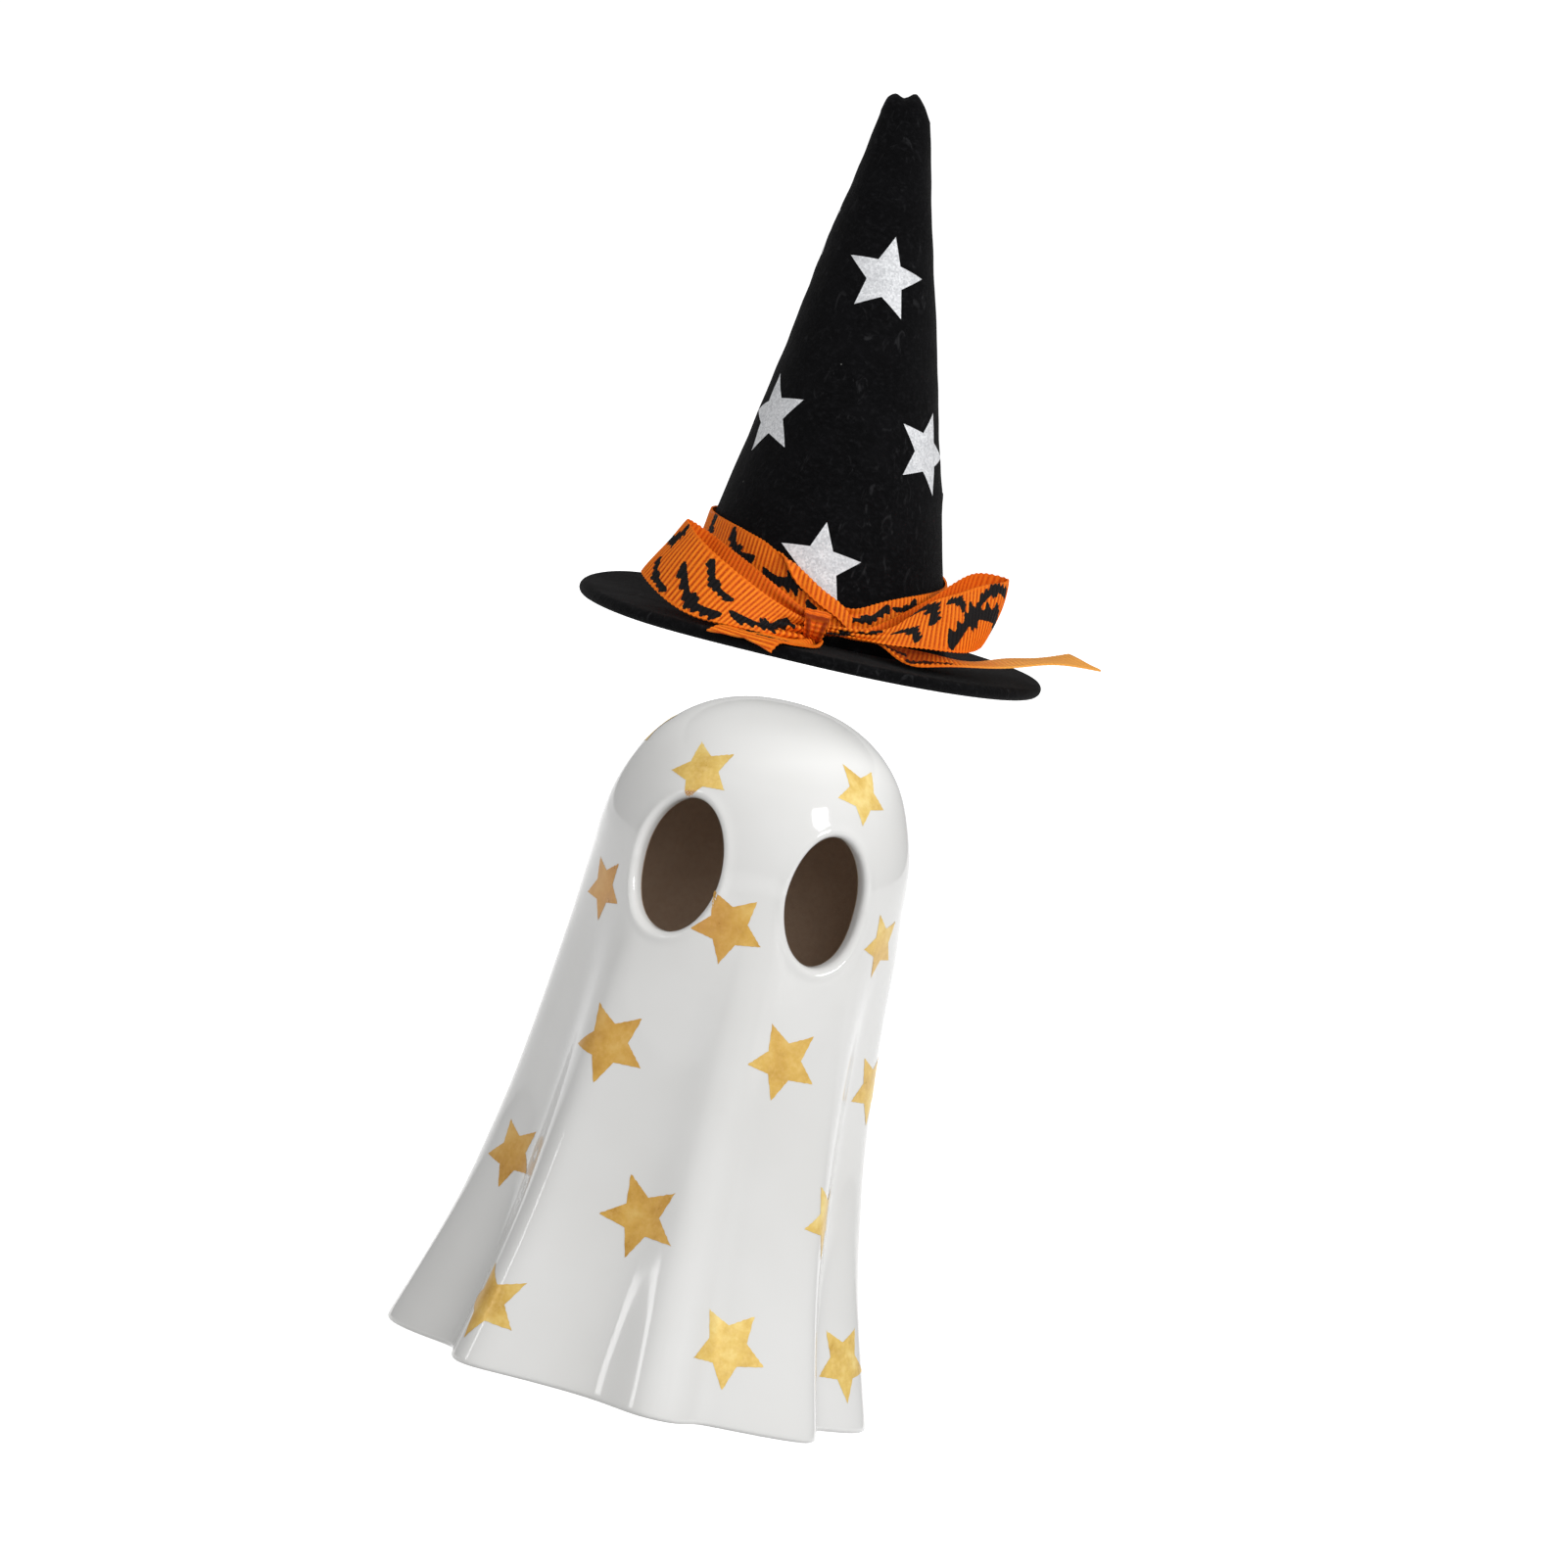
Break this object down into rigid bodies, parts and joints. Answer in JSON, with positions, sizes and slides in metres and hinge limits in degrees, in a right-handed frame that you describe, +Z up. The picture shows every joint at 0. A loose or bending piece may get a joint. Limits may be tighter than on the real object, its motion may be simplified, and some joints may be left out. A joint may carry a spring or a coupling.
{
  "type": "ceramic ghost figure",
  "caption": "Hollow glazed ceramic bed-sheet ghost with open eye holes, draped folds and an open base, wearing a felt witch hat with a tied ribbon that lifts off its head.",
  "frame": {"origin": "centre of the hem's foot ring, on the table", "axes": "+Z up; the face looks along -Y; +X is the viewer's right"},
  "size_m": [0.1145, 0.1058, 0.2836],
  "materials": {
    "white_glaze": "gloss white glaze with fired gold lustre stars",
    "black_felt": "matt pressed felt with silver-white glitter stars",
    "orange_ribbon": "ribbed grosgrain, printed with small black bats"
  },
  "bodies": {
    "ghost": {"ghost_shell": "white_glaze"},
    "hat": {"hat_crown": "black_felt", "hat_brim": "black_felt", "hat_band": "orange_ribbon", "bow_knot": "orange_ribbon", "bow_loop_left": "orange_ribbon", "bow_loop_right": "orange_ribbon", "bow_tail_left": "orange_ribbon", "bow_tail_right": "orange_ribbon"}
  },
  "joints": [
    {"name": "hat_lift", "type": "slide", "parent": "ghost", "child": "hat", "axis": [0, 0, 1], "range_m": [-0.0248, 0.035]}
  ]
}
